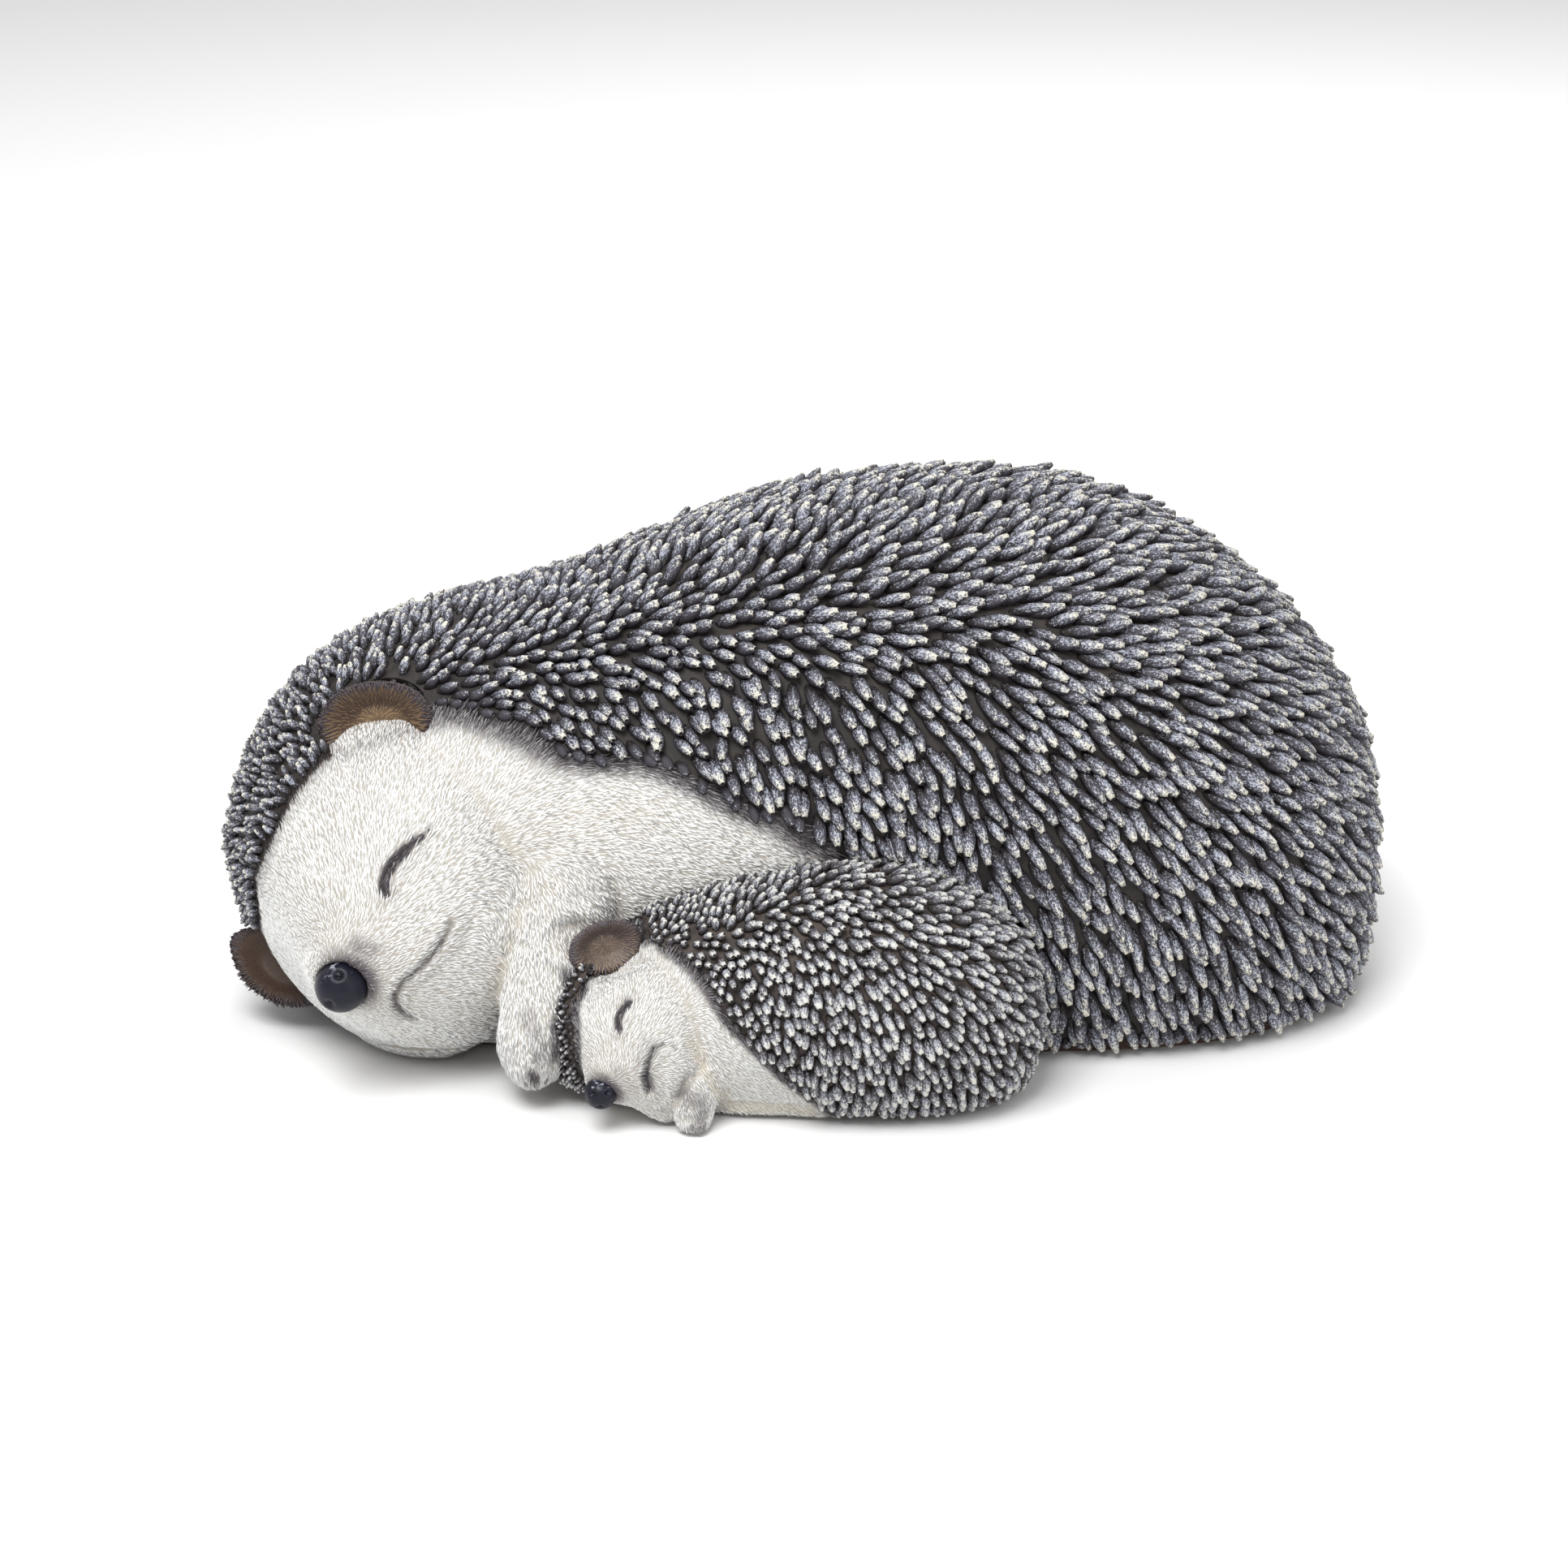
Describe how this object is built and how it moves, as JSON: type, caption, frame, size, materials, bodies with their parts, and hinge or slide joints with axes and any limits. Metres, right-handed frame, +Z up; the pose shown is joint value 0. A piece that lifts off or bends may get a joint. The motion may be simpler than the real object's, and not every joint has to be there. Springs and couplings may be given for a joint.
{
  "type": "hedgehog figurine",
  "caption": "Resting ornament of a sleeping hedgehog curled beside her sleeping young one, with quilled coats, white furred faces and a flat underside.",
  "frame": {"origin": "on the flat underside, below the middle of the mother's body", "axes": "+X from the mother's head to her rump, -Y towards the side that the young one lies on, +Z up"},
  "size_m": [0.2857, 0.1991, 0.1273],
  "materials": {
    "dark_coat": "matte painted resin",
    "brown_coat": "matte painted resin",
    "grey_quill": "dry-brushed painted resin",
    "cream_quill": "dry-brushed painted resin",
    "white_fur": "matte painted resin with carved fur",
    "nose_gloss": "gloss painted resin",
    "brown_ear": "matte painted resin",
    "grey_claw": "matte painted resin",
    "brown_base": "matte painted resin"
  },
  "bodies": {
    "root": {"mother_coat": "dark_coat", "mother_chest": "white_fur", "mother_fur_locks": "white_fur", "mother_head": "white_fur", "mother_nose": "nose_gloss", "mother_near_ear": "brown_ear", "mother_far_ear": "brown_ear", "mother_arm": "white_fur", "mother_claws": "grey_claw", "mother_crown_quills": "grey_quill", "mother_back_quills": "grey_quill", "mother_flank_quills": "grey_quill", "mother_rump_quills": "grey_quill", "baby_coat": "brown_coat", "baby_belly": "white_fur", "baby_head": "white_fur", "baby_nose": "nose_gloss", "baby_near_ear": "brown_ear", "baby_arm": "white_fur", "baby_claws": "grey_claw", "baby_quills": "cream_quill", "base_plate": "brown_base"}
  },
  "joints": []
}
